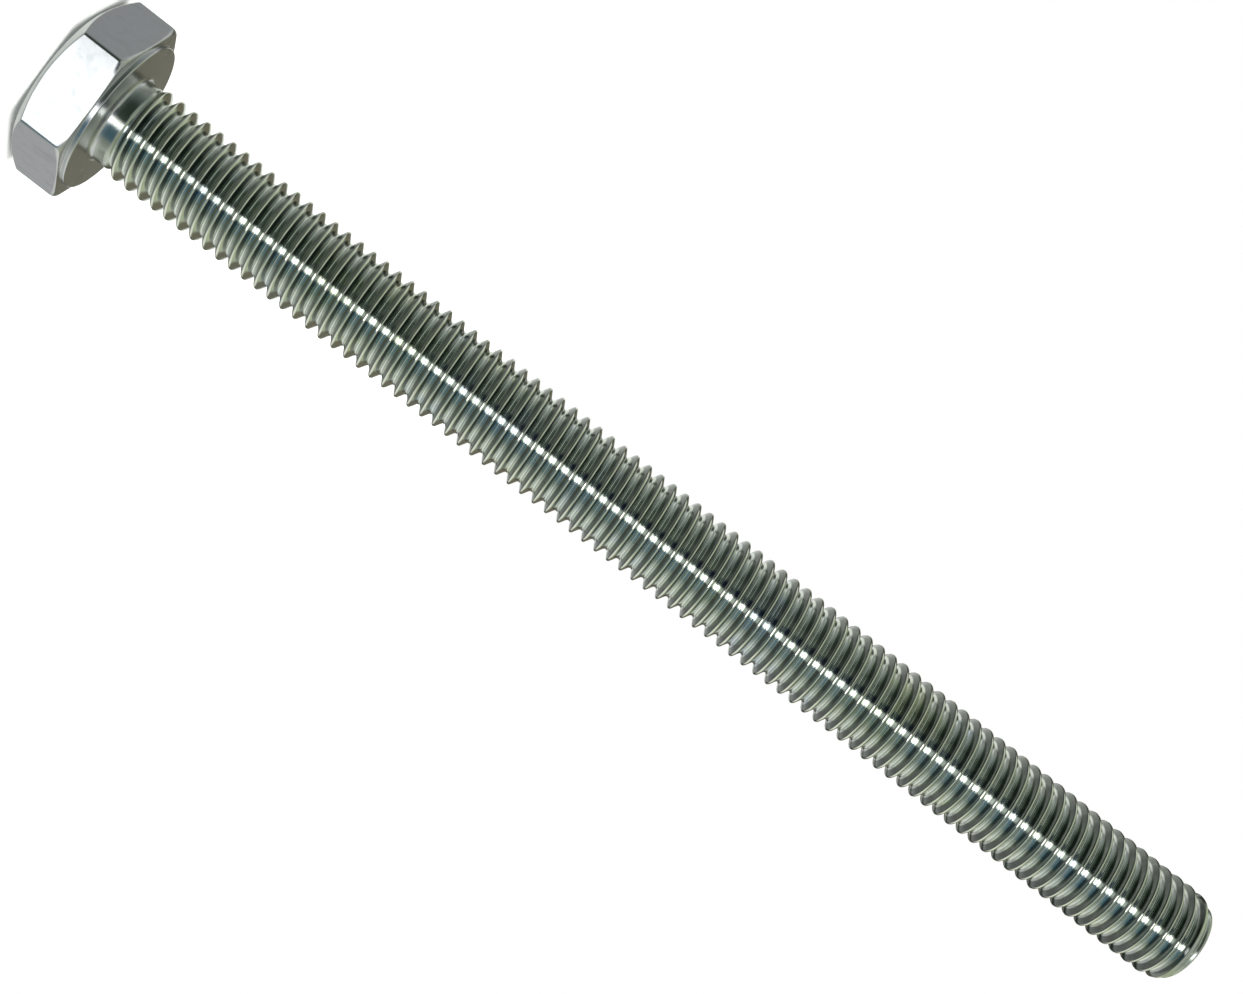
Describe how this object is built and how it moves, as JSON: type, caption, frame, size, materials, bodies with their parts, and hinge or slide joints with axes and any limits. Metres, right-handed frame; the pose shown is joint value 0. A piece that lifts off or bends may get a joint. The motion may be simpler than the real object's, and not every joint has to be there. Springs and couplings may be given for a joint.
{
  "type": "hex bolt",
  "caption": "Long zinc-plated hex bolt threaded over its whole shank, with a raised round bearing face under a chamfered hexagonal head.",
  "frame": {"origin": "centre of the head's flat top face, which the bolt stands on", "axes": "+Z along the shank from the head to the threaded tip; two opposite spanner flats face +Y and -Y, two hexagon corners lie on +X and -X"},
  "size_m": [0.0196, 0.017, 0.1361],
  "materials": {
    "zinc_plated_steel": "bright zinc plate with a faint blue and yellow-green passivation tint"
  },
  "bodies": {
    "root": {"hex_bolt": "zinc_plated_steel"}
  },
  "joints": []
}
